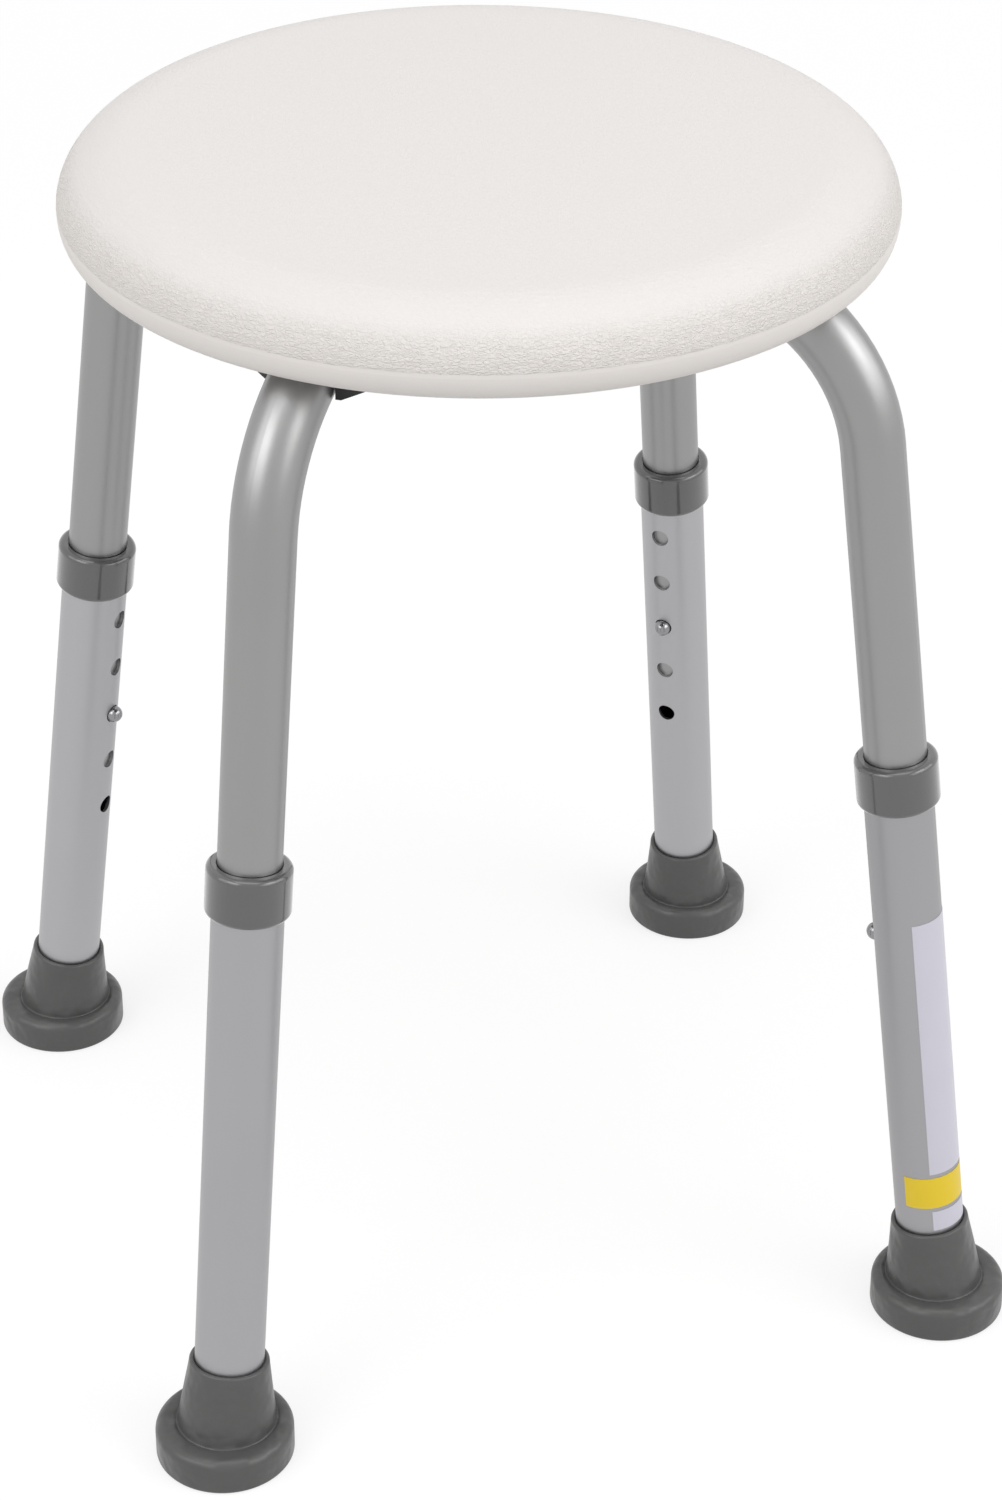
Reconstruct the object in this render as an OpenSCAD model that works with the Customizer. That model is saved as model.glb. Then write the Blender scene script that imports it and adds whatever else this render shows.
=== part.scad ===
// Height-adjustable shower stool: a round blow-moulded seat on two U-shaped aluminium
// frames that cross under it, with four telescopic legs on rubber tips.
// The origin is on the floor under the middle of the seat, and +Z is up.
// Millimetres and degrees.

/* [Seat] */
// Diameter of the seat at its widest
seat_d = 330.2; // [300:1:380]
// Height of the seat's top with each button in the middle hole
seat_height = 495.3; // [450:0.5:560]
// Thickness of the hollow deck, from top skin to bottom skin
seat_deck_t = 15.3; // [13:0.1:20]
// Wall of the blow-moulded shell
seat_wall = 2.5; // [1.8:0.1:3]
// How far in from the edge the top starts to round over
seat_round_w = 29; // [22:0.5:34]
// Height of that top rounding
seat_round_h = 22.5; // [18:0.5:26]
// How far in the rim tucks below the parting line
seat_tuck = 5.5; // [4:0.5:7]
// How far the rim hangs down beside the frame tubes
rim_overlap = 12.7; // [9:0.1:14]
// Draft of the recess wall, as the step in from rim to deck
recess_draft = 1.5; // [0.5:0.1:3]
// Rounding of the recess's two corners
recess_round = 1.5; // [1:0.5:3]
// Diameter of the seat's drain holes
drain_d = 5; // [3:0.5:8]
// Diameter of the circle that the drain holes lie on
drain_circle_d = 130; // [110:1:150]

/* [Frames] */
// Outside diameter of the frame tube
frame_tube_d = 25.4; // [22:0.1:28]
// Wall of the frame tube
frame_wall = 1.25; // [1:0.05:1.6]
// Radius of the frame tube's bends, at its centre line
bend_r = 70; // [66:1:90]
// Angle by which each leg leans out
splay = 7.5; // [5:0.1:10]
// How far inside the seat's edge a leg's axis would meet the level run's axis
corner_inset = 2.1; // [0:0.1:5]
// Length over which a tube is pressed from round to flat at the crossing
press_l = 16; // [12:1:24]
// Length of the flat where the tubes cross
flat_l = 37; // [37:1:44]

/* [Legs] */
// Outside diameter of the leg tube
leg_tube_d = 28.6; // [26.6:0.1:32]
// Length of the leg tube
leg_tube_l = 258.5; // [240:0.5:275]
// Adjustment holes in each leg tube, an odd number
hole_count = 5; // [3:2:7]
// Distance from one adjustment hole to the next
hole_pitch = 25.4; // [20:0.1:27]
// Distance from the top end of the leg tube to its first hole
hole_inset = 32.5; // [28:0.5:36]
// Distance from the lower end of the frame tube to its button hole
button_inset = 38.7; // [34:0.1:44]

/* [Collars] */
// Outside diameter of the collar
collar_d = 34; // [33:0.5:38]
// Height of the collar
collar_h = 21; // [16:0.5:26]
// Height of the collar above the end of the leg tube
collar_lip = 2.5; // [1.5:0.1:4]
// Rounding of the collar's top edge
collar_round_top = 2.4; // [1.5:0.1:2.6]
// Rounding of the collar's bottom edge
collar_round_bottom = 2; // [1:0.1:2.4]

/* [Tips] */
// Diameter of the tip's flange
tip_flange_d = 57; // [52:0.5:64]
// Thickness of the flange
tip_flange_t = 15.5; // [12:0.5:18]
// Rise of the flange's top towards the sleeve
tip_flange_rise = 0.5; // [0.2:0.1:3]
// Rounding of the flange's top edge
tip_round_top = 4; // [2:0.1:5]
// Rounding of the flange's bottom edge
tip_round_bottom = 1.5; // [1:0.1:2]
// Height of the tip, along the leg
tip_h = 44.6; // [38:0.1:52]
// Thickness of the rubber at the top of the sleeve
tip_lip = 2.2; // [1.6:0.1:3]
// Thickness of the rubber at the foot of the sleeve
tip_root = 6; // [5:0.1:8]
// Width of the groove round the foot of the sleeve
tip_groove_w = 1.4; // [1:0.1:2]
// Depth of that groove
tip_groove_depth = 1; // [0.5:0.1:1.5]
// Thickness of the rubber under the steel washer, along the leg
tip_floor = 8; // [7:0.1:12]
// Thickness of the steel washer in the tip
tip_washer_t = 1.5; // [1:0.1:2.5]
// Hole in that washer
tip_washer_hole_d = 9; // [6:0.5:14]
// Depth of the grip grooves in the sole
groove_depth = 1.2; // [0.8:0.1:2]
// Width of each groove, and of the land between two grooves
groove_w = 2.4; // [2:0.1:3]
// Grip grooves in the sole
groove_count = 3; // [1:1:3]
// Diameter of the plain middle of the sole
groove_first_d = 22; // [16:1:24]

/* [Snap buttons] */
// Diameter of the button
button_d = 7.6; // [6:0.1:9]
// How far the button stands out of the leg tube
button_proud = 4.3; // [3.8:0.1:5.5]
// How far the button is pressed in to free the leg
button_travel = 6; // [4:0.1:6.4]
// Diameter of the collar on the button's inner end
button_flange_d = 10.4; // [9.5:0.1:12]
// Thickness of that collar
button_flange_t = 0.9; // [0.6:0.1:1.2]
// Width of the spring strip
spring_w = 8; // [6:0.5:9]
// Thickness of the spring strip
spring_t = 0.6; // [0.4:0.1:0.8]
// Distance from the button down to the bend of the spring
spring_drop = 30; // [24:1:32]
// Length of the spring past the button
spring_tail = 8; // [6:1:12]

/* [Saddles] */
// Thickness of the saddle between the frame tube and the seat
saddle_t = 4.3; // [3:0.1:8]
// Width of the saddle against the seat
saddle_w = 60; // [50:1:70]
// Thickness of the saddle's wings at their lower edge, beside the tube
saddle_foot_t = 1.2; // [0.8:0.1:3]
// Slope of the saddle's wings
saddle_wing_angle = 28; // [22:1:36]
// How far the saddle reaches down past the tube's centre line
saddle_hang = 5.4; // [3:0.1:7]
// Distance from a seat screw to the saddle's inner end
saddle_tail = 17; // [12:1:24]

/* [Seat fixings] */
// Distance from the start of a bend in to its seat screw
screw_setback = 4.6; // [3:0.1:12]
// Diameter of the seat screw's shank
screw_d = 6; // [5:0.5:7]
// Diameter of the screw's head
screw_head_d = 12; // [10:0.5:14]
// Height of the screw's head
screw_head_h = 3.6; // [2.5:0.1:5]
// Diameter of the washer that fits the tube
screw_washer_d = 16; // [14:0.5:20]
// Thickness of that washer under the tube
screw_washer_t = 2; // [1.5:0.1:3]
// How far that washer reaches up round the tube
screw_washer_wrap = 2.6; // [1:0.1:4]
// Outside diameter of the threaded insert in the seat
insert_d = 9; // [8:0.5:11]
// Length of the threaded insert
insert_l = 10; // [8:0.5:10.5]
// Wall of the seat's boss round each insert
boss_wall = 4.5; // [3:0.5:6]
// Diameter of the rivet that joins the crossing tubes
rivet_d = 6.4; // [5:0.1:8]
// Diameter of the rivet's heads
rivet_head_d = 13; // [11:0.5:16]
// Height of the rivet's lower head
rivet_head_h = 2.6; // [2:0.1:4]

/* [Labels] */
// Thickness of the vinyl labels
label_t = 0.15; // [0.1:0.01:0.3]
// Thickness of the glue under the labels
label_glue_t = 0.02; // [0.01:0.01:0.05]
// Width of the long label, round the leg
label_w = 37; // [20:1:40]
// Length of the long label, along the leg
label_l = 122.5; // [60:0.5:125]
// Width of the band label, round the leg
band_label_w = 60; // [30:1:70]
// Height of the band label
band_label_l = 15; // [8:0.5:20]
// Width of the small label, round the leg
small_label_w = 30; // [15:1:40]
// Height of the small label
small_label_l = 9.5; // [6:0.5:10]
// Gap from the tip up to the small label, and from one label to the next
label_gap = 2; // [1:0.1:4]

/* [Clearances] */
// Running gap between the frame tube and the leg tube, all round
tube_gap = 0.1; // [0.05:0.01:0.1]
// Gap round the frame tube where it passes the collar
collar_gap = 0.4; // [0.3:0.05:0.6]
// Gap round a button in its holes
button_gap = 0.3; // [0.3:0.05:0.5]
// Gap round a screw or rivet in its hole
screw_gap = 0.3; // [0.2:0.05:0.5]
// Gap between a saddle or washer and the tube it fits
cradle_gap = 0.1; // [0.05:0.01:0.2]
// Gap between a tube's bend and the edge of the seat's recess
recess_gap = 4.2; // [3:0.1:5]
// Gap between the saddle's outer end and the recess's rounded corner
saddle_gap = 8.2; // [5:0.1:12]

/* [Hidden] */
$fn = 64;

// The direction of each corner from the middle of the stool
front_left = 225;
front_right = 315;
back_right = 45;
back_left = 135;

// A little extra, so that a cut runs clear through a face
cut = 1;
// How far one stretch of a frame tube overlaps the next
lap = 0.5;
// Thickness of the slices that a pressed stretch is drawn between
slice_t = 0.1;
// The step in radius between two stretches, so that their surfaces do not coincide
join_step = 0.03;
// Facets of a hull's own children
hull_fn = 32;
// Steps in each quarter of an elliptical rounding
round_steps = 12;

// Frame: the level run's height, and the bend's centre in the plane of one leg
frame_tube_r = frame_tube_d / 2;
frame_bore_r = frame_tube_r - frame_wall;
deck_z = seat_height - seat_deck_t;
run_z = deck_z - saddle_t - frame_tube_r;
corner_r = seat_d / 2 - corner_inset;
bend_angle = 90 - splay;
bend_setback = bend_r * tan(bend_angle / 2);
bend_x = corner_r - bend_setback;
bend_z = run_z - bend_r;
foot_r = corner_r + run_z * tan(splay);
screw_reach = bend_x - screw_setback;
// Distance along the leg from the sole to where the bend starts
leg_axis_l = run_z / cos(splay) - bend_setback;

// Crossing: each tube is pressed to half its diameter there, and keeps its girth
flat_t = frame_tube_d / 2;
flat_w = flat_t + PI * (frame_tube_d - flat_t) / 2;
run_end = flat_l / 2 + press_l;

// Seat: its rim, its recess and its parting line
rim_z = deck_z - saddle_t - rim_overlap;
parting_z = seat_height - seat_round_h;
bend_outer_r = bend_r + frame_tube_r;
recess_r = bend_x + sqrt(pow(bend_outer_r, 2) - pow(rim_z - bend_z, 2)) + recess_gap;
deck_recess_r = recess_r - recess_draft;

// Leg: places along its axis, counted from the sole
leg_tube_r = leg_tube_d / 2;
leg_bore_r = frame_tube_r + tube_gap;
leg_start_l = tip_floor + tip_washer_t;
leg_end_l = leg_start_l + leg_tube_l;
top_hole_l = leg_end_l - hole_inset;
button_l = top_hole_l - hole_pitch * (hole_count - 1) / 2;
frame_end_l = button_l - button_inset;
adjust_hole_d = button_d + 2 * button_gap;

// Snap button: places across the leg, counted from its axis
button_tip_x = leg_tube_r + button_proud;
button_flange_r = button_flange_d / 2;
button_seat_x = sqrt(pow(frame_bore_r, 2) - pow(button_flange_r, 2)) - button_gap;
button_back_x = button_seat_x - button_flange_t;
spring_front_x = button_back_x - button_gap / 2;

// Labels: places along the leg, counted from the sole
small_label_start = tip_h + label_gap;
band_label_start = small_label_start + small_label_l + label_gap;
long_label_start = band_label_start + band_label_l + label_gap;
label_edge_turn = -60;

tube_colour = "silver";
plastic_colour = "dimgray";
black_colour = "black";
steel_colour = "gainsboro";

// ---------------------------------------------------------------- placing

// Turns a child that is drawn in the plane of one leg (X outwards) to its corner.
module at_corner(corner) {
    rotate([0, 0, corner]) children();
}

// Sets a child on one leg's own axis: its origin at the sole, +Z up the leg,
// and -X towards the middle of the stool.
module on_leg(corner) {
    at_corner(corner) translate([foot_r, 0, 0]) rotate([0, -splay, 0]) children();
}

module ring(outer_r, inner_r, height) {
    difference() {
        cylinder(r = outer_r, h = height);
        translate([0, 0, -cut]) cylinder(r = inner_r, h = height + 2 * cut);
    }
}

// Points on a stretch of an ellipse, for an outline.
function arc(centre, radii, from, to) = [
    for (i = [0:round_steps])
    let (a = from + (to - from) * i / round_steps)
    [centre[0] + radii[0] * cos(a), centre[1] + radii[1] * sin(a)]
];

// ---------------------------------------------------------------- seat

// Half-section of the seat, taken in by inset from its surface.
function seat_outline(inset) = concat(
    [[0, seat_height - inset]],
    arc([seat_d / 2 - seat_round_w, parting_z],
        [seat_round_w - inset, seat_round_h - inset], 90, 0),
    arc([seat_d / 2 - seat_tuck, parting_z],
        [seat_tuck - inset, parting_z - rim_z - inset], 0, -90),
    arc([recess_r + recess_round, rim_z + recess_round],
        [recess_round - inset, recess_round - inset], -90, -180),
    arc([deck_recess_r - recess_round, deck_z - recess_round],
        [recess_round + inset, recess_round + inset], 0, 90),
    [[0, deck_z + inset]]
);

module seat() {
    color("linen") difference() {
        rotate_extrude($fn = 128) polygon(seat_outline(0));
        difference() {
            rotate_extrude($fn = 128) polygon(seat_outline(seat_wall));
            at_screws() translate([0, 0, deck_z]) {
                cylinder(d = insert_d + 2 * boss_wall, h = seat_deck_t);
            }
        }
        at_screws() translate([0, 0, deck_z - cut]) cylinder(d = insert_d, h = insert_l + cut);
        at_drains() translate([0, 0, deck_z - cut]) cylinder(d = drain_d, h = seat_wall + 2 * cut);
    }
}

module at_screws() {
    for (corner = [front_left, front_right, back_right, back_left]) {
        rotate([0, 0, corner]) translate([screw_reach, 0, 0]) children();
    }
}

module at_drains() {
    for (side = [0, 180]) {
        rotate([0, 0, side]) translate([drain_circle_d / 2, 0, 0]) children();
    }
}

module threaded_inserts() {
    color("darkkhaki") at_screws() translate([0, 0, deck_z]) {
        ring(insert_d / 2, screw_d / 2 + cradle_gap, insert_l);
    }
}

// A cross-recessed pan-head screw that goes up through washer, tube and saddle.
module seat_screws() {
    head_z = run_z - frame_tube_r - screw_washer_t;
    shank_l = deck_z + insert_l - cut - head_z;
    cross_w = screw_d / 5;
    color(steel_colour) at_screws() translate([0, 0, head_z]) {
        cylinder(d = screw_d, h = shank_l);
        difference() {
            translate([0, 0, -screw_head_h]) intersection() {
                cylinder(d = screw_head_d, h = screw_head_h);
                translate([0, 0, screw_head_d]) sphere(r = screw_head_d, $fn = 96);
            }
            for (turn = [0, 90]) {
                rotate([0, 0, turn]) translate([0, 0, -screw_head_h]) {
                    cube([screw_head_d / 2, cross_w, screw_head_h], center = true);
                }
            }
        }
    }
}

// The washer's upper side is hollowed to fit the round tube.
module screw_washers() {
    washer_h = screw_washer_t + screw_washer_wrap;
    color(black_colour) at_screws() difference() {
        translate([0, 0, run_z - frame_tube_r - screw_washer_t]) {
            ring(screw_washer_d / 2, screw_d / 2 + screw_gap, washer_h);
        }
        translate([-screw_washer_d, 0, run_z]) rotate([0, 90, 0]) {
            cylinder(r = frame_tube_r + cradle_gap, h = 2 * screw_washer_d);
        }
    }
}

// ---------------------------------------------------------------- frames

// Rounded bar along X, taken in by inset: the tube where it is pressed flat.
module flat_bar(inset, length) {
    side = (flat_w - flat_t) / 2;
    rotate([90, 0, 90]) linear_extrude(length) {
        square([2 * side, flat_t - 2 * inset], center = true);
        for (y = [-side, side]) {
            translate([y, 0]) circle(d = flat_t - 2 * inset);
        }
    }
}

// One leg, one bend and half of the level run, all of radius r, from start_l on the leg.
// Both straight stretches reach into the ends of the bend.
module half_frame_path(r, start_l) {
    translate([bend_x, 0, bend_z]) {
        rotate([90, 0, 0]) rotate([0, 0, splay]) rotate_extrude(angle = bend_angle) {
            translate([bend_r, 0]) circle(r = r + join_step);
        }
        rotate([0, -splay, 0]) translate([bend_r, 0, lap]) rotate([180, 0, 0]) {
            cylinder(r = r, h = leg_axis_l - start_l + lap);
        }
    }
    translate([run_end, 0, run_z]) rotate([0, 90, 0]) {
        cylinder(r = r, h = bend_x - run_end + lap);
    }
}

// The pressed middle of a frame, side = 1 against the seat and -1 under the other tube.
// thin is what the wall takes off the outside.
module pressed_middle(side, thin) {
    flat_z = run_z + side * flat_t / 2;
    translate([-flat_l / 2, 0, flat_z]) flat_bar(thin, flat_l);
    for (turn = [0, 180]) {
        rotate([0, 0, turn]) hull($fn = hull_fn) {
            translate([flat_l / 2, 0, flat_z]) flat_bar(thin + join_step, slice_t);
            translate([run_end, 0, run_z]) rotate([0, -90, 0]) {
                cylinder(r = frame_tube_r - thin - join_step, h = slice_t);
            }
        }
    }
}

module frame(corner, side) {
    color(tube_colour) at_corner(corner) difference() {
        union() {
            for (turn = [0, 180]) {
                rotate([0, 0, turn]) half_frame_path(frame_tube_r, frame_end_l);
            }
            pressed_middle(side, 0);
        }
        for (turn = [0, 180]) {
            rotate([0, 0, turn]) {
                half_frame_path(frame_bore_r, frame_end_l - cut);
                translate([screw_reach, 0, run_z - frame_tube_d]) {
                    cylinder(d = screw_d + 2 * screw_gap, h = 2 * frame_tube_d);
                }
                button_bore();
            }
        }
        pressed_middle(side, frame_wall);
        translate([0, 0, run_z - frame_tube_d]) {
            cylinder(d = rivet_d + 2 * screw_gap, h = 2 * frame_tube_d);
        }
    }
}

// The hole for the snap button in the inward side of the frame tube.
module button_bore() {
    translate([foot_r, 0, 0]) rotate([0, -splay, 0]) {
        adjusting_hole(button_l);
    }
}

module adjusting_hole(at_l) {
    translate([0, 0, at_l]) rotate([0, -90, 0]) cylinder(d = adjust_hole_d, h = leg_tube_d);
}

module over_frame() {
    frame(back_right, 1);
}

module under_frame() {
    frame(back_left, -1);
}

// A solid rivet through both pressed tubes, domed underneath.
module crossing_rivet() {
    upper_head_h = saddle_t / 2;
    color(steel_colour) {
        translate([0, 0, run_z - frame_tube_r]) cylinder(d = rivet_d, h = frame_tube_d);
        translate([0, 0, run_z + frame_tube_r]) cylinder(d = rivet_head_d, h = upper_head_h);
        translate([0, 0, run_z - frame_tube_r - rivet_head_h]) intersection() {
            cylinder(d = rivet_head_d, h = rivet_head_h);
            translate([0, 0, rivet_head_d]) sphere(r = rivet_head_d, $fn = 96);
        }
    }
}

// ---------------------------------------------------------------- saddles

// A block between tube and seat, hollowed to the tube, whose lower edge follows
// the tube's centre line, and whose outer end stops short of the recess wall.
module saddle(corner) {
    inner_x = screw_reach - saddle_tail;
    outer_r = deck_recess_r - recess_round - saddle_gap;
    edge_r = bend_r - saddle_hang;
    bed_r = frame_tube_r + cradle_gap;
    slot_r = frame_tube_r + cradle_gap / 2;
    wing_foot = bed_r + saddle_foot_t;
    low_z = bend_z + sqrt(pow(edge_r, 2) - pow(outer_r - bend_x, 2));
    wing_z = low_z + (saddle_w / 2 - wing_foot) * tan(saddle_wing_angle);
    half_section = [[wing_foot, low_z], [saddle_w / 2, wing_z], [saddle_w / 2, deck_z]];
    mirrored = [for (i = [2:-1:0]) [-half_section[i][0], half_section[i][1]]];
    color(black_colour) at_corner(corner) difference() {
        intersection() {
            translate([inner_x, 0, 0]) rotate([90, 0, 90]) {
                linear_extrude(outer_r - inner_x) polygon(concat(half_section, mirrored));
            }
            translate([0, 0, low_z - cut]) cylinder(r = outer_r, h = deck_z, $fn = 128);
        }
        saddle_slot(edge_r, saddle_w);
        saddle_slot(bend_r, slot_r);
        translate([bend_x, 0, bend_z]) tube_bed(bed_r);
        translate([screw_reach, 0, run_z]) cylinder(d = screw_d + 2 * screw_gap, h = frame_tube_d);
    }
}

// All that lies inside radius r of the bend and under its level run, half_w to each side.
module saddle_slot(r, half_w) {
    translate([bend_x, half_w, bend_z]) rotate([90, 0, 0]) cylinder(r = r, h = 2 * half_w, $fn = 128);
    translate([0, -half_w, bend_z]) cube([bend_x, 2 * half_w, r]);
}

// The space that the tube and its bend take out of a saddle, from the bend's centre.
module tube_bed(r) {
    rotate([90, 0, 0]) rotate_extrude(angle = 90) translate([bend_r, 0]) circle(r = r);
    translate([0, 0, bend_r]) rotate([0, -90, 0]) cylinder(r = r, h = bend_x);
}

// ---------------------------------------------------------------- legs

module leg_tube(corner) {
    color(tube_colour) on_leg(corner) difference() {
        translate([0, 0, leg_start_l]) ring(leg_tube_r, leg_bore_r, leg_tube_l);
        for (i = [0:hole_count - 1]) {
            adjusting_hole(top_hole_l - i * hole_pitch);
        }
    }
}

// A moulded cap that is pressed over the end of the leg tube.
module collar(corner) {
    color(plastic_colour) on_leg(corner) difference() {
        translate([0, 0, leg_end_l + collar_lip - collar_h]) {
            rotate_extrude() {
                rounded_half(collar_d / 2, collar_h, collar_round_top, collar_round_bottom);
            }
        }
        translate([0, 0, leg_end_l - collar_h]) cylinder(r = leg_tube_r, h = collar_h);
        translate([0, 0, leg_end_l - cut]) {
            cylinder(r = frame_tube_r + collar_gap, h = collar_lip + 2 * cut);
        }
    }
}

// Half-section of a disc of radius r and thickness t whose outer edges are rounded.
module rounded_half(r, t, top_round, bottom_round) {
    square([r - top_round, t]);
    square([r - bottom_round, t - top_round]);
    translate([0, bottom_round]) square([r, t - top_round - bottom_round]);
    translate([r - top_round, t - top_round]) circle(r = top_round);
    translate([r - bottom_round, bottom_round]) circle(r = bottom_round);
}

// The flange lies flat on the floor and the sleeve leans with the leg.
module rubber_tip(corner) {
    root_r = leg_tube_r + tip_root;
    color(plastic_colour) at_corner(corner) translate([foot_r, 0, 0]) difference() {
        union() {
            tip_flange(root_r, tip_flange_t + tip_flange_rise);
            rotate([0, -splay, 0]) sleeve(root_r);
        }
        rotate([0, -splay, 0]) translate([0, 0, tip_floor]) cylinder(r = leg_tube_r, h = tip_h);
        for (i = [0:groove_count - 1]) {
            groove_r = groove_first_d / 2 + i * 2 * groove_w;
            translate([0, 0, -cut]) ring(groove_r + groove_w, groove_r, groove_depth + cut);
        }
    }
}

// The tip's flat foot, sunk round the sleeve. The sleeve leaves it at root_r and height root_z.
module tip_flange(root_r, root_z) {
    flat_r = tip_flange_d / 2 - tip_round_top;
    difference() {
        rotate_extrude() {
            rounded_half(tip_flange_d / 2, tip_flange_t, tip_round_top, tip_round_bottom);
            polygon([
                [0, tip_flange_t - cut], [flat_r, tip_flange_t - cut],
                [flat_r, tip_flange_t], [root_r, root_z], [0, root_z]
            ]);
        }
        translate([-root_z * tan(splay), 0, root_z - tip_groove_depth]) {
            cylinder(r = root_r + tip_groove_w, h = tip_groove_depth + cut);
        }
    }
}

module sleeve(root_r) {
    lip_r = tip_lip / 2;
    top_r = leg_tube_r + tip_lip;
    foot_l = tip_flange_t + tip_flange_rise;
    rotate_extrude() {
        polygon([
            [0, tip_floor], [root_r, tip_floor], [root_r, foot_l],
            [top_r, tip_h - lip_r], [0, tip_h - lip_r]
        ]);
        translate([top_r - lip_r, tip_h - lip_r]) circle(r = lip_r);
    }
}

// The steel washer that the leg tube stands on inside its tip.
module tip_washer(corner) {
    color(steel_colour) on_leg(corner) translate([0, 0, tip_floor]) {
        ring(leg_tube_r - button_gap, tip_washer_hole_d / 2, tip_washer_t);
    }
}

// ---------------------------------------------------------------- snap buttons

// A domed pin with a collar that keeps it in the frame tube.
module snap_button(corner) {
    dome_r = button_d / 2;
    color(steel_colour) on_leg(corner) translate([0, 0, button_l]) rotate([0, -90, 0]) {
        translate([0, 0, button_back_x]) {
            cylinder(r = button_flange_r, h = button_flange_t);
            cylinder(r = dome_r, h = button_tip_x - dome_r - button_back_x);
        }
        translate([0, 0, button_tip_x - dome_r]) sphere(r = dome_r);
    }
}

// A bent steel strip: one arm stands behind the button, the other on the far wall.
module button_spring(corner) {
    low_l = button_l - spring_drop;
    pad_low_l = button_l - button_flange_r;
    tail_l = button_l + spring_tail;
    far_low_l = tail_l - spring_tail / 2;
    far_x = frame_bore_r - button_gap - spring_w * spring_w / (8 * frame_bore_r);
    color("lightgray") on_leg(corner) rotate([90, 0, 0]) translate([0, 0, -spring_w / 2]) {
        linear_extrude(spring_w) polygon([
            [-spring_front_x, tail_l], [-spring_front_x, pad_low_l],
            [-spring_t, low_l], [spring_t, low_l],
            [far_x, far_low_l], [far_x, tail_l],
            [far_x - spring_t, tail_l], [far_x - spring_t, far_low_l],
            [0, low_l + 2 * spring_t],
            [spring_t - spring_front_x, pad_low_l], [spring_t - spring_front_x, tail_l]
        ]);
    }
}

// ---------------------------------------------------------------- labels

// A blank vinyl label round the outer side of the front right leg tube.
module leg_label(start_l, length, width, from_turn) {
    on_leg(front_right) translate([0, 0, start_l]) rotate([0, 0, from_turn]) {
        rotate_extrude(angle = label_turn(width)) {
            translate([leg_tube_r + label_glue_t, 0]) square([label_t, length]);
        }
    }
}

// The angle that a width of label covers round the tube.
function label_turn(width) = width / leg_tube_r * 180 / PI;

module long_label() {
    color("white") leg_label(long_label_start, label_l, label_w, label_edge_turn);
}

module band_label() {
    middle = label_edge_turn + label_turn(label_w) / 2;
    color("gold") {
        leg_label(band_label_start, band_label_l, band_label_w, middle - label_turn(band_label_w) / 2);
    }
}

module small_label() {
    color("white") leg_label(small_label_start, small_label_l, small_label_w, label_edge_turn);
}

// ---------------------------------------------------------------- nodes

seat();
threaded_inserts();
seat_screws();
screw_washers();
over_frame();
under_frame();
crossing_rivet();
saddle(front_left);  // saddle_front_left
saddle(front_right);  // saddle_front_right
saddle(back_right);  // saddle_back_right
saddle(back_left);  // saddle_back_left
leg_tube(front_left);  // leg_tube_front_left
leg_tube(front_right);  // leg_tube_front_right
leg_tube(back_right);  // leg_tube_back_right
leg_tube(back_left);  // leg_tube_back_left
collar(front_left);  // collar_front_left
collar(front_right);  // collar_front_right
collar(back_right);  // collar_back_right
collar(back_left);  // collar_back_left
rubber_tip(front_left);  // rubber_tip_front_left
rubber_tip(front_right);  // rubber_tip_front_right
rubber_tip(back_right);  // rubber_tip_back_right
rubber_tip(back_left);  // rubber_tip_back_left
tip_washer(front_left);  // tip_washer_front_left
tip_washer(front_right);  // tip_washer_front_right
tip_washer(back_right);  // tip_washer_back_right
tip_washer(back_left);  // tip_washer_back_left
snap_button(front_left);  // snap_button_front_left
snap_button(front_right);  // snap_button_front_right
snap_button(back_right);  // snap_button_back_right
snap_button(back_left);  // snap_button_back_left
button_spring(front_left);  // button_spring_front_left
button_spring(front_right);  // button_spring_front_right
button_spring(back_right);  // button_spring_back_right
button_spring(back_left);  // button_spring_back_left
long_label();
band_label();
small_label();
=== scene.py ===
import math

import bmesh
import bpy
from mathutils import Matrix, Vector


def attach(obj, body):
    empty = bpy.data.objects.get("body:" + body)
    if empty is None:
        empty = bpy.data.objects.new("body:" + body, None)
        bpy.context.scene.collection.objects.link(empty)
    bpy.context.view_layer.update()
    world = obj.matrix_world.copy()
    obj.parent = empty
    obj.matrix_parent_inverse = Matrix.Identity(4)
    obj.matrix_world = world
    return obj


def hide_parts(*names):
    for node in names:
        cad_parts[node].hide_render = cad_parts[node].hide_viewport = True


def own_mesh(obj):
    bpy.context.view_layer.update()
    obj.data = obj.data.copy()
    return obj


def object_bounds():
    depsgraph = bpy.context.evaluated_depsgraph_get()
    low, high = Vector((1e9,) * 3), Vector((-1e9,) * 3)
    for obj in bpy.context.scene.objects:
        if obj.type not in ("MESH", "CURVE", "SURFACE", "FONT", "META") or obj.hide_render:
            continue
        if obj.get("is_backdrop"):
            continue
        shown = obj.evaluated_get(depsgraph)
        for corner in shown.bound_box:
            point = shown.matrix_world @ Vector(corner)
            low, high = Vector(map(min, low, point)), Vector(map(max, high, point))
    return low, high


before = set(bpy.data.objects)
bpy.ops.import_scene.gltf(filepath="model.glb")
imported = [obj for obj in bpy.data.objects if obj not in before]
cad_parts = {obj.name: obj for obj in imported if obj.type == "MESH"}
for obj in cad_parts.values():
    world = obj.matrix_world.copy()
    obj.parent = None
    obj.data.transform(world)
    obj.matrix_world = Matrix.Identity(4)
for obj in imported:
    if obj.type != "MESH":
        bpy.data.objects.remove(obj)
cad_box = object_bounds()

# --- Seat -------------------------------------------------------------------
# A round seat blow-moulded in one piece of off-white polyethylene. Its top and
# side carry a fine leather grain from the mould, which stops at a smooth band
# above the lower edge, and the dished underside is smooth.
top_colour = (0.785, 0.755, 0.742)
# The side colour is painted shade, warmer than the top.
side_shade_colour = (0.80, 0.76, 0.727)
# The crease colour is painted shade for the creases between pebbles.
crease_shade_colour = (0.66, 0.622, 0.59)
grain_pitch = 0.0025
grain_depth = 0.00034
grain_squash = (1, 1, 2.2)
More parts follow.
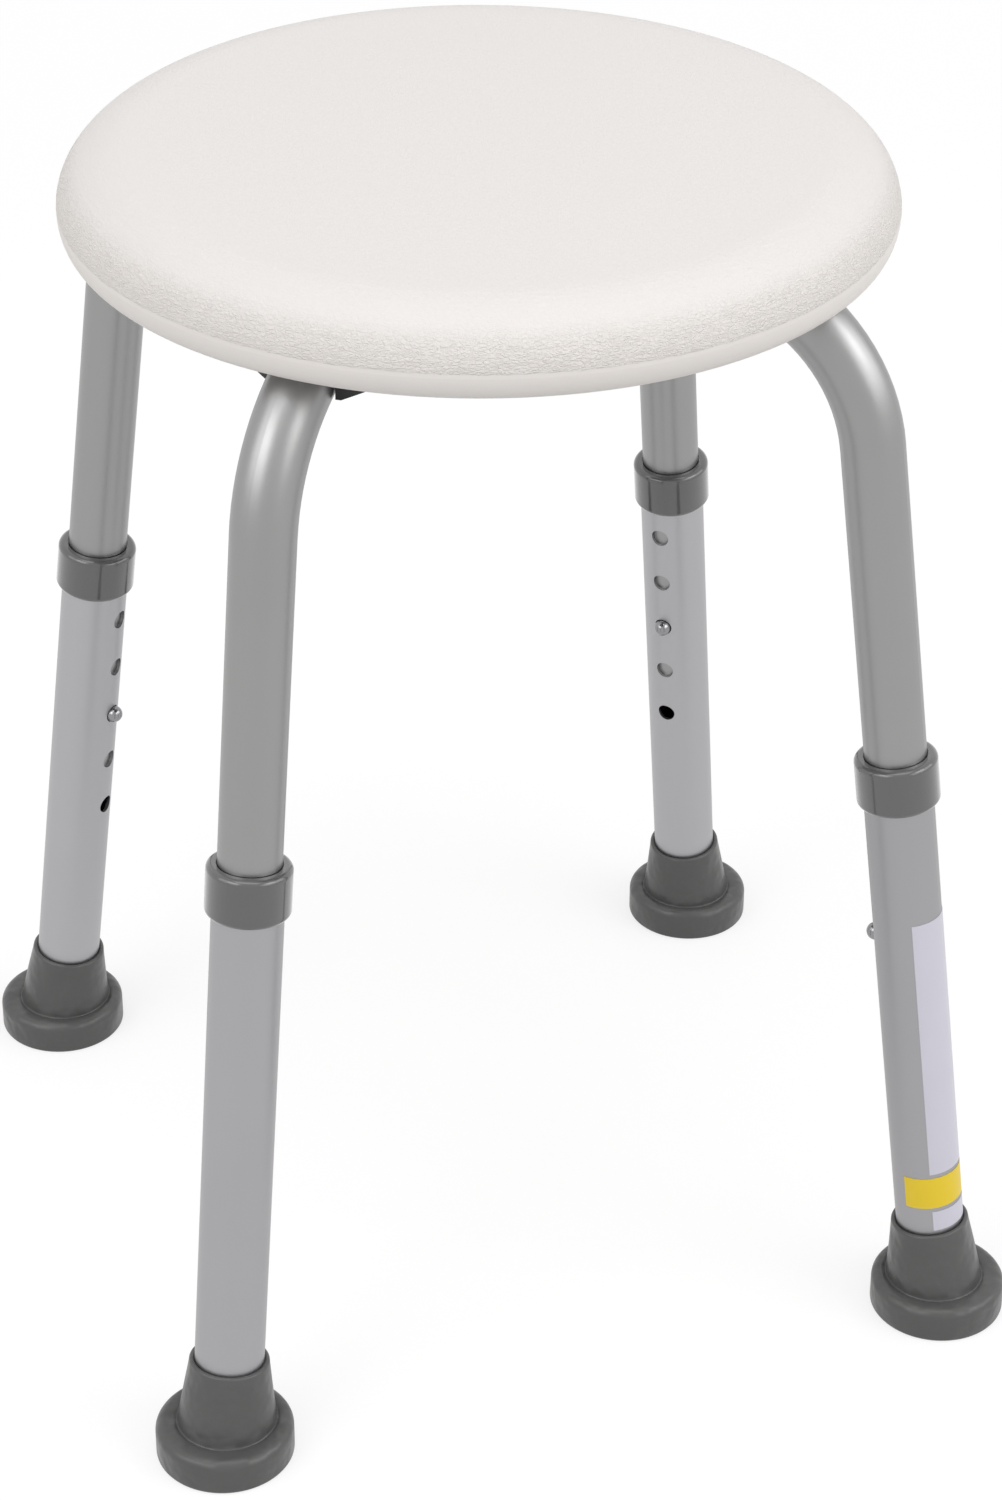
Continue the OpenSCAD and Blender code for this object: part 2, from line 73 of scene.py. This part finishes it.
grain_bend = 0.0011
grain_edge_waver = 0.0012
grain_on_top = 0.26
# Heights above the floor: where the painted shade down the side starts and where
# it is full, where the grain starts to deepen and where it is deepest, where it
# stops, and where the underside lies. The underside reaches out as far as the
# recess does.
side_shade_start, side_shade_full = 0.4945, 0.478
belt_start, belt_full = 0.491, 0.483
grain_stop = 0.4745
underside = 0.4802
recess_radius = 0.1515


class Value:
    """One output of a node. Sums on it add Math nodes."""

    def __init__(self, finish, output):
        self.finish = finish
        self.output = output

    def __add__(self, other):
        return self.finish.maths("ADD", self, other)

    def __radd__(self, other):
        return self.finish.maths("ADD", other, self)

    def __sub__(self, other):
        return self.finish.maths("SUBTRACT", self, other)

    def __rsub__(self, other):
        return self.finish.maths("SUBTRACT", other, self)

    def __mul__(self, other):
        return self.finish.maths("MULTIPLY", self, other)

    def __rmul__(self, other):
        return self.finish.maths("MULTIPLY", other, self)

    def __gt__(self, other):
        return self.finish.maths("GREATER_THAN", self, other)


class Finish:
    """The material of one kind of surface, built up node by node."""

    def __init__(self, name, make=bpy.data.materials.new, **constants):
        self.material = make(name)
        self.material.use_nodes = True
        self.tree = self.material.node_tree
        self.shader = self.tree.nodes.get("Principled BSDF")
        self.set(**constants)

    def put(self, socket, value):
        """Links a socket to a value, or gives it a number or colour."""
        if isinstance(value, Value):
            self.tree.links.new(value.output, socket)
        elif isinstance(value, (int, float)):
            socket.default_value = value
        else:
            socket.default_value = (tuple(value) + (1.0,))[:len(socket.default_value)]

    def set(self, **values):
        for name, value in values.items():
            self.put(self.shader.inputs[name.replace("_", " ")], value)

    def node(self, kind, settings=None, inputs=None, output=0):
        """Adds a node with its settings and its sockets' values, and gives one output."""
        made = self.tree.nodes.new("ShaderNode" + kind)
        for name, value in (settings or {}).items():
            if name == "stops":
                ramp = made.color_ramp
                while len(ramp.elements) < len(value):
                    ramp.elements.new(0.5)
                for stop, (place, grey) in zip(ramp.elements, value):
                    stop.position = place
                    stop.color = (grey, grey, grey, 1)
            else:
                setattr(made, name, value)
        for name, value in (inputs or {}).items():
            self.put(made.inputs[name], value)
        return Value(self, made.outputs[output])

    def maths(self, operation, first, second):
        return self.node("Math", {"operation": operation}, {0: first, 1: second})

    def vector(self, operation, first, second):
        return self.node("VectorMath", {"operation": operation}, {0: first, 1: second})

    def length(self, vector):
        return self.node("VectorMath", {"operation": "LENGTH"}, {0: vector}, "Value")

    def place(self, scale=(1, 1, 1)):
        """Where a point lies on the stool, in metres times the scale."""
        where = self.node("TexCoord", output="Object")
        return self.node("Mapping", None, {"Vector": where, "Scale": scale})

    def noise(self, where, scale, detail=3, roughness=0.5, output=0):
        sizes = {"Vector": where, "Scale": scale, "Detail": detail, "Roughness": roughness}
        return self.node("TexNoise", None, sizes, output)

    def ramp(self, value, *stops):
        """A value through stops of place and grey."""
        return self.node("ValToRGB", {"stops": stops}, {0: value})

    def ease(self, value, start, end):
        """0 where the value is at the start, 1 at the end, and smooth between."""
        smooth = {"interpolation_type": "SMOOTHSTEP"}
        return self.node("MapRange", smooth, {0: value, "From Min": start, "From Max": end})

    def mix(self, share, first, second):
        """The first colour where the share is 0, the second where it is 1."""
        colours = {0: share, 6: first, 7: second}
        return self.node("Mix", {"data_type": "RGBA"}, colours, output=2)

    def bump(self, *layers):
        """Relief in layers of height, depth in metres and strength, the broadest first."""
        normal = {}
        for height, depth, strength in layers:
            sizes = {"Height": height, "Distance": depth, "Strength": strength}
            normal = {"Normal": self.node("Bump", None, sizes | normal)}
        self.set(**normal)


def dress(node, material):
    """Gives a solid that is shown as it is its material."""
    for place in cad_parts[node].material_slots:
        place.material = material


seat_finish = Finish("seat_plastic", Specular_IOR_Level=0.28)
on_seat = seat_finish.place()
height = seat_finish.node("SeparateXYZ", None, {0: on_seat}, "Z")
from_middle = seat_finish.length(seat_finish.vector("MULTIPLY", on_seat, (1, 1, 0)))

# The grain stops at a slightly wavy line, and there is none underneath.
waver = grain_edge_waver * (seat_finish.noise(on_seat, scale=260, detail=2) - 0.5)
outside = seat_finish.maths("MAXIMUM", height > underside, from_middle > recess_radius)
grained = (height + waver > grain_stop) * outside

# Creases run between pebbles, which are bent out of shape and flattened.
squashed = seat_finish.place(scale=grain_squash)
bend_noise = seat_finish.noise(squashed, scale=300, detail=2, output="Color")
shift = seat_finish.node(
    "VectorMath", {"operation": "SCALE"}, {0: bend_noise, "Scale": grain_bend}
)
bent_place = seat_finish.vector("ADD", squashed, shift)


def out_of_creases(pitch, width):
    """0 in a crease between pebbles, 1 out of it."""
    cells = seat_finish.node(
        "TexVoronoi",
        {"feature": "DISTANCE_TO_EDGE"},
        {"Vector": bent_place, "Scale": 1 / pitch, "Randomness": 1.0},
    )
    return seat_finish.ease(cells, 0, width)


large_pebbles = out_of_creases(pitch=grain_pitch, width=0.24)
small_pebbles = out_of_creases(pitch=grain_pitch * 0.52, width=0.30)
pebbles = 0.62 * large_pebbles + 0.38 * small_pebbles
pores = seat_finish.noise(on_seat, scale=1900, roughness=0.6)
cloud = seat_finish.noise(on_seat, scale=9)

# The grain is faint on top and deep on the belt above the smooth band.
belt = grain_on_top + (1 - grain_on_top) * seat_finish.ease(height, belt_start, belt_full)
grain = grained * belt
# Painted shade: the top colour turns to the warmer side colour down the side, by height.
side_shade_share = seat_finish.ease(height, side_shade_start, side_shade_full) * (0.85 + 0.5 * (cloud - 0.5))
colour_with_side_shade = seat_finish.mix(side_shade_share, top_colour, side_shade_colour)
# Painted shade in the creases between pebbles, with a little random cloudy tone.
crease_shade_and_tone = grain * (1 - pebbles) * 0.26 + 0.06 * cloud
relief = grain * (pebbles + 0.12 * pores) + (1 - grain) * 0.06 * pores
seat_finish.set(
    Base_Color=seat_finish.mix(crease_shade_and_tone, colour_with_side_shade, crease_shade_colour),
    Roughness=0.47 + 0.08 * grained + 0.08 * (cloud - 0.5) + 0.05 * (pores - 0.5),
)
seat_finish.bump((relief, grain_depth, 0.9))
dress("seat", seat_finish.material)

# --- Threaded inserts -------------------------------------------------------
# Four brass inserts, moulded into bosses in the seat's underside. They take the
# seat screws, and the saddles hide them.
brass = Finish("brass", Metallic=1.0)
on_brass = brass.place()
tarnish = brass.noise(on_brass, scale=240, detail=4)
brass.set(
    Base_Color=brass.mix(tarnish, (0.72, 0.50, 0.20), (0.48, 0.31, 0.12)),
    Roughness=0.24 + 0.22 * tarnish,
)
brass.bump((brass.noise(on_brass, scale=2600, detail=2), 0.00002, 0.5))
dress("threaded_inserts", brass.material)

# --- Frame tubes ------------------------------------------------------------
# Two lengths of 1 inch aluminium tube, each bent to a U and pressed flat where
# it crosses the other under the seat. Anodised, so that a satin sheen runs
# along them. They are drilled for the seat screws, rivet and snap buttons.


def metal(name, light, dark, rough, grain_depth, grain_scale):
    """Anodised or bare metal: faint clouds, fine grain, small marks."""
    finish = Finish(name, Metallic=1.0)
    where = finish.place()
    grain = finish.noise(where, scale=grain_scale, roughness=0.6)
    cloud = finish.noise(where, scale=22)
    marks = finish.noise(where, scale=420, detail=5, roughness=0.7)
    marks = finish.ramp(marks, (0.62, 0.0), (0.76, 1.0))
    finish.set(
        Base_Color=finish.mix(0.4 * grain + 0.6 * cloud, dark, light),
        Roughness=rough + 0.07 * (cloud - 0.5) + 0.08 * (grain - 0.5) + 0.05 * marks,
    )
    finish.bump((grain, grain_depth, 0.5))
    return finish.material


frame_metal = metal(
    "frame_aluminium",
    light=(0.345, 0.343, 0.343),
    dark=(0.31, 0.308, 0.308),
    rough=0.35,
    grain_depth=0.000002,
    grain_scale=1600,
)
dress("over_frame", frame_metal)
dress("under_frame", frame_metal)

# --- Crossing rivet ---------------------------------------------------------
# A solid steel rivet that holds the two pressed middles together, with a flat
# head above and a domed one below.
steel = metal(
    "bright_steel",
    light=(0.60, 0.60, 0.61),
    dark=(0.46, 0.46, 0.47),
    rough=0.22,
    grain_depth=0.00001,
    grain_scale=900,
)
dress("crossing_rivet", steel)

# --- Saddles, screws and washers --------------------------------------------
# Black nylon saddles fill the space between each bend and the seat. A screw
# with a shaped washer goes up through the tube and saddle into each insert.
# The corners' directions are seen from above.
corners = {
    "front_left": math.radians(225),
    "front_right": math.radians(315),
    "back_right": math.radians(45),
    "back_left": math.radians(135),
}


def moulded_plastic(
    name, light, dark, rough, peel_depth, peel_scale=900, wave_depth=0, coat=0
):
    """Moulded plastic or rubber: faint flow clouds, fine orange peel, a few scuffs."""
    finish = Finish(name, Specular_IOR_Level=0.45, Coat_Weight=coat, Coat_Roughness=0.1)
    where = finish.place()
    cloud = finish.noise(where, scale=35, detail=4)
    peel = finish.noise(where, scale=peel_scale, roughness=0.6)
    scuff = finish.noise(where, scale=160, detail=6, roughness=0.75)
    scuff = finish.ramp(scuff, (0.60, 0.0), (0.74, 1.0))
    waves = [(finish.noise(where, scale=70, detail=2), wave_depth, 1.0)] if wave_depth else []
    finish.set(
        Base_Color=finish.mix(cloud, dark, light),
        Roughness=rough + 0.10 * (cloud - 0.5) + 0.06 * (peel - 0.5) + 0.10 * scuff,
    )
    finish.bump(*waves, (peel, peel_depth, 0.6))
    return finish.material


saddle_black = moulded_plastic(
    "saddle_black",
    light=(0.022, 0.022, 0.023),
    dark=(0.015, 0.015, 0.016),
    rough=0.40,
    peel_depth=0.00004,
)
for corner in corners:
    dress("saddle_" + corner, saddle_black)
dress("seat_screws", steel)
dress("screw_washers", steel)

# --- Snap buttons -----------------------------------------------------------
# A chromed button on a strip spring inside each end of the frame tubes clicks
# into the hole of the leg tube that sets the height. The strip is bent double,
# and it closes as the button is pressed.
merge_distance = 0.00001
sharp_angle = 0.6  # radians


def show(name, bm, material):
    """Puts a finished bmesh in the scene as an object."""
    mesh = bpy.data.meshes.new(name)
    bm.to_mesh(mesh)
    bm.free()
    mesh.materials.append(material)
    shown = bpy.data.objects.new(name, mesh)
    bpy.context.scene.collection.objects.link(shown)
    return shown


def show_piece(name, bm, material, body):
    """Shows a piece, smooth but for its sharp edges, which moves with a body."""
    for face in bm.faces:
        face.smooth = True
    for edge in bm.edges:
        edge.smooth = edge.calc_face_angle(0) < sharp_angle
    piece = show(name, bm, material)
    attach(piece, body)
    return piece


chrome = metal(
    "chrome",
    light=(0.33, 0.33, 0.34),
    dark=(0.24, 0.24, 0.25),
    rough=0.09,
    grain_depth=0.000004,
    grain_scale=1400,
)
spring_steel = metal(
    "spring_steel",
    light=(0.42, 0.42, 0.44),
    dark=(0.30, 0.30, 0.32),
    rough=0.30,
    grain_depth=0.00001,
    grain_scale=900,
)
for corner in corners:
    dress("snap_button_" + corner, chrome)
    bm = bmesh.new()
    bm.from_mesh(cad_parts["button_spring_" + corner].data)
    bmesh.ops.remove_doubles(bm, verts=list(bm.verts), dist=merge_distance)
    spring = show_piece(
        "strip_spring_" + corner, bm, spring_steel, "seat_and_frame"
    )
    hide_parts("button_spring_" + corner)
    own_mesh(spring)

# --- Leg tubes --------------------------------------------------------------
# Four straight lower legs of 1 1/8 inch aluminium tube, matt anodised, with five
# holes in line on the side that faces in. Each is made a little lighter or darker
# as painted light and shade for how the light falls on it.
leg_painted_lightness = {
    "front_left": 0.415,
    "front_right": 0.38,
    "back_right": 0.46,
    "back_left": 0.45,
}
# Painted light and shade: one aluminium made lighter or darker for each leg.
for corner, grey in leg_painted_lightness.items():
    light = (grey, 0.99 * grey, 1.02 * grey)
    leg_metal_painted_light = metal(
        "leg_aluminium_" + corner,
        light=light,
        dark=[0.91 * part for part in light],
        rough=0.40,
        grain_depth=0.000003,
        grain_scale=1500,
    )
    dress("leg_tube_" + corner, leg_metal_painted_light)

# --- Collars ----------------------------------------------------------------
# A glossy collar of grey plastic, pressed on the top of each lower leg, guides
# the leg along the frame tube.
collar_grey = moulded_plastic(
    "collar_grey",
    light=(0.092, 0.092, 0.094),
    dark=(0.080, 0.080, 0.082),
    rough=0.17,
    peel_depth=0.00001,
    coat=1,
)
for corner in corners:
    dress("collar_" + corner, collar_grey)

# --- Tips -------------------------------------------------------------------
# A wide rubber tip pushed on each leg, moulded in one piece: a round foot with
# a rolled edge and three grip grooves, and a sleeve that leans with the leg and
# ends in a rounded lip. A steel washer lies in its bottom, under the tube.
mm = 0.001
splay = math.radians(7.5)
upright = math.cos(splay)
foot_place = 158.36 * mm * math.sqrt(2)
tip_segments = 96
# The grip grooves, the foot, the lip and the bore, in millimetres.
first_groove_radius = 11
groove_count = 3
groove_width = 2.4
groove_depth = 1.2
groove_lip = 0.15
foot_radius = 28.5
sole_round = 1.5
side_height = 6.5
shoulder_height = 11.5
shoulder_round = 4
lip_radius = 15.4
lip_height = 43.5
lip_round = 1.1
bore_radius = 14.32
bore_heights = (43.2, 30, 8)


def arc(radius, rise, size, start, end, steps):
    """Points on a rounding, from one angle to another in degrees."""
    angles = [math.radians(start + (end - start) * n / steps) for n in range(steps + 1)]
    return [(radius + size * math.cos(a), rise + size * math.sin(a)) for a in angles]


# The foot, from the middle of the sole outwards and up: radius and height.
foot = [(1, 0), (first_groove_radius, 0)]
for groove in range(groove_count):
    inner = first_groove_radius + 2 * groove_width * groove
    outer = inner + groove_width
    foot += [(inner, groove_lip), (inner + groove_lip, groove_depth)]
    foot += [(outer - groove_lip, groove_depth), (outer, groove_lip), (outer, 0)]
foot += arc(foot_radius - sole_round, sole_round, sole_round, -90, 0, 4)
foot.append((foot_radius, side_height))
foot += arc(foot_radius - shoulder_round, shoulder_height, shoulder_round, 0, 90, 8)
# The rings of the whole tip, on up over the lip and down the bore: radius and
# height, how far a ring is shifted on to the leg's axis, and how far it leans
# with the leg. The sleeve meets the foot in a shallow groove.
rings = [(radius, rise, 0, 0) for radius, rise in foot]
rings += [
    (23.2, 15.5, 0.6, 0),
    (22.2, 15.45, 1, 0),
    (21.8, 15.38, 1, 0),
    (21.4, 15.22, 1, 0),
    (21.05, 15.08, 1, 0),
    (20.75, 15.1, 1, 0),
    (20.53, 15.3, 1, 0),
    (20.4, 15.7, 1, 0.03),
    (20.25, 16.5, 1, 0.1),
    (19.95, 19, 1, 0.27),
    (19.5, 22, 1, 0.48),
    (19.05, 25, 1, 0.68),
    (18.62, 28, 1, 0.87),
    (18.18, 31, 1, 1),
    (17.6, 35, 1, 1),
    (17.02, 39, 1, 1),
    (16.68, 41.5, 1, 1),
]
lip = arc(lip_radius, lip_height, lip_round, 0, 165, 11)
bore = [(bore_radius, rise) for rise in bore_heights]
rings += [(radius, rise * upright, 1, 1) for radius, rise in lip + bore]


def ring_place(radius, rise, shift, lean):
    """Where a circle of radius 1 goes to become this ring of the tip."""
    centre = Vector((-shift * rise * math.tan(splay), 0, rise)) * mm
    turn = Matrix.Rotation(-lean * splay, 4, "Y")
    size = Matrix.Diagonal((radius * mm, radius * mm, 1, 1))
    return Matrix.Translation(centre) @ turn @ size


tip_rubber = moulded_plastic(
    "tip_rubber",
    light=(0.094, 0.095, 0.093),
    dark=(0.078, 0.079, 0.077),
    rough=0.34,
    peel_depth=0.00003,
    peel_scale=1400,
    wave_depth=0.002,
)
for corner, turn in corners.items():
    bm = bmesh.new()
    bmesh.ops.create_circle(bm, cap_ends=True, segments=tip_segments, radius=1)
    edge_loop = list(bm.edges)
    bmesh.ops.transform(bm, verts=list(bm.verts), matrix=ring_place(*rings[0]))
    for before, ring in zip(rings, rings[1:]):
        made = bmesh.ops.extrude_edge_only(bm, edges=edge_loop)["geom"]
        edge_loop = [part for part in made if isinstance(part, bmesh.types.BMEdge)]
        new_verts = [part for part in made if isinstance(part, bmesh.types.BMVert)]
        step = ring_place(*ring) @ ring_place(*before).inverted()
        bmesh.ops.transform(bm, verts=new_verts, matrix=step)
    bmesh.ops.contextual_create(bm, geom=edge_loop)
    stand = Matrix.Rotation(turn, 4, "Z") @ Matrix.Translation((foot_place, 0, 0))
    bmesh.ops.transform(bm, verts=list(bm.verts), matrix=stand)
    bmesh.ops.recalc_face_normals(bm, faces=list(bm.faces))
    tip = show_piece("rubber_foot_" + corner, bm, tip_rubber, "leg_" + corner)
    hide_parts("rubber_tip_" + corner)
    dress("tip_washer_" + corner, steel)

# --- Labels -----------------------------------------------------------------
# Three blank vinyl labels stuck on the front right leg: one long and white,
# one yellow band round the leg, one small and white.


def vinyl(name, plain, dusty):
    """Printed vinyl film: even colour, soft sheen, a trace of rippling."""
    finish = Finish(name, Specular_IOR_Level=0.5)
    where = finish.place()
    ripple = finish.noise(where, scale=60, detail=2)
    dust = finish.noise(where, scale=700, detail=4, roughness=0.7)
    dust = finish.ramp(dust, (0.6, 0.0), (0.8, 1.0))
    finish.set(
        Base_Color=finish.mix(0.5 * ripple + 0.4 * dust, plain, dusty),
        Roughness=0.36 + 0.10 * ripple + 0.10 * dust,
    )
    finish.bump((ripple, 0.0001, 0.4))
    return finish.material


white_vinyl = vinyl("white_vinyl", plain=(0.65, 0.635, 0.715), dusty=(0.60, 0.585, 0.665))
yellow_vinyl = vinyl("yellow_vinyl", plain=(0.85, 0.62, 0.02), dusty=(0.78, 0.55, 0.02))
dress("long_label", white_vinyl)
dress("small_label", white_vinyl)
dress("band_label", yellow_vinyl)

# --- Floor and studio -------------------------------------------------------
# A plain pale floor under white surroundings, lit by large soft lamps. Straight
# or in a reflection both look white, with a faint shadow under the stool, but
# they throw less light back on it than white would.
floor_size = 12
floor_grey = 0.6
shadow_grey = 0.30
floor_glow = 0.73
fade_start, fade_end = 0.6, 2.0
surround_light = 0.57
white = (1, 1, 1)


def white_for_lens(finish):
    """1 for rays from the lens, a reflection or through glass, otherwise 0."""
    rays = ("Is Camera Ray", "Is Glossy Ray", "Is Transmission Ray")
    first, second, third = [finish.node("LightPath", output=name) for name in rays]
    return finish.maths("MAXIMUM", first, finish.maths("MAXIMUM", second, third))


floor_finish = Finish("floor_white")
floor_finish.tree.nodes.remove(floor_finish.shader)
lit_floor = floor_finish.node("BsdfDiffuse", None, {"Color": [floor_grey] * 3})
shadows = floor_finish.node("BsdfDiffuse", None, {"Color": [shadow_grey] * 3})
glow = floor_finish.node("Emission", None, {"Color": white, "Strength": floor_glow})
near_floor = floor_finish.node("AddShader", None, {0: shadows, 1: glow})
far_floor = floor_finish.node("Emission", None, {"Color": white, "Strength": 1.0})
fade = floor_finish.ease(floor_finish.length(floor_finish.place()), fade_start, fade_end)
seen_floor = floor_finish.node("MixShader", None, {0: fade, 1: near_floor, 2: far_floor})
to_lens = white_for_lens(floor_finish)
top_side = floor_finish.node("MixShader", None, {0: to_lens, 1: lit_floor, 2: seen_floor})
below = floor_finish.node("NewGeometry", output="Backfacing")
clear = floor_finish.node("BsdfTransparent")
floor_shader = floor_finish.node("MixShader", None, {0: below, 1: top_side, 2: clear})
floor_output = floor_finish.tree.nodes["Material Output"]
floor_finish.put(floor_output.inputs["Surface"], floor_shader)

bm = bmesh.new()
bmesh.ops.create_grid(bm, x_segments=1, y_segments=1, size=floor_size / 2)
floor = show("floor", bm, floor_finish.material)
floor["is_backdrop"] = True

studio = Finish("studio", make=bpy.data.worlds.new)
bpy.context.scene.world = studio.material
background = studio.tree.nodes["Background"]
surround = surround_light + (1 - surround_light) * white_for_lens(studio)
studio.put(background.inputs["Strength"], surround)
studio.put(background.inputs["Color"], white)

look_at = Vector((0, 0, 0.3))
lamp_distance = 3.2
# Direction round the stool and height in degrees, width and depth in metres, watts.
lamps = {
    "left_lamp": (198, 33, 3.3, 2.0, 25),
    "right_lamp": (324, 27, 4.0, 1.7, 31),
    "top_lamp": (250, 76, 2.4, 1.8, 19),
    "left_core": (208, 40, 1.3, 1.3, 8.5),
    "right_core": (319, 38, 1.3, 1.3, 10),
}
for name, (side, rise, width, depth, watts) in lamps.items():
    lamp_data = bpy.data.lights.new(name, "AREA")
    lamp_data.shape = "RECTANGLE"
    lamp_data.size = width
    lamp_data.size_y = depth
    lamp_data.energy = watts
    lamp = bpy.data.objects.new(name, lamp_data)
    bpy.context.scene.collection.objects.link(lamp)
    side, rise = math.radians(side), math.radians(rise)
    level = math.cos(rise)
    away = Vector((math.cos(side) * level, math.sin(side) * level, math.sin(rise)))
    lamp.location = look_at + lamp_distance * away
    lamp.rotation_euler = away.to_track_quat("Z", "Y").to_euler()

bpy.context.scene.view_settings.view_transform = "Standard"

# --- Camera -----------------------------------------------------------------
# It stands in front of the stool and a little to its left, and looks down on it
# from above the seat.
lens_place = Vector((-0.41992, -1.34328, 1.08835))
lens_turn = math.radians(17.750)
lens_drop = math.radians(31.806)
lens_roll = math.radians(-0.270)
focal_length = 3880.0 / 1500  # in heights of the image
sensor_width = 36
view_end = 100

camera_data = bpy.data.cameras.new("camera")
camera_data.sensor_fit = "AUTO"
camera_data.sensor_width = sensor_width
camera_data.lens = focal_length * sensor_width
camera_data.clip_end = view_end
camera = bpy.data.objects.new("camera", camera_data)
bpy.context.scene.collection.objects.link(camera)
bpy.context.scene.camera = camera
forward = Vector((
    math.sin(lens_turn) * math.cos(lens_drop),
    math.cos(lens_turn) * math.cos(lens_drop),
    -math.sin(lens_drop),
))
level_right = Vector((math.cos(lens_turn), -math.sin(lens_turn), 0))
level_up = level_right.cross(forward)
right = math.cos(lens_roll) * level_right - math.sin(lens_roll) * level_up
up = right.cross(forward)
turned = Matrix((right, up, -forward)).transposed().to_4x4()
camera.matrix_world = Matrix.Translation(lens_place) @ turned

boxes = {"cad": cad_box, "visual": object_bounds()}
boxes = {name: [[float(v) for v in corner] for corner in box] for name, box in boxes.items()}
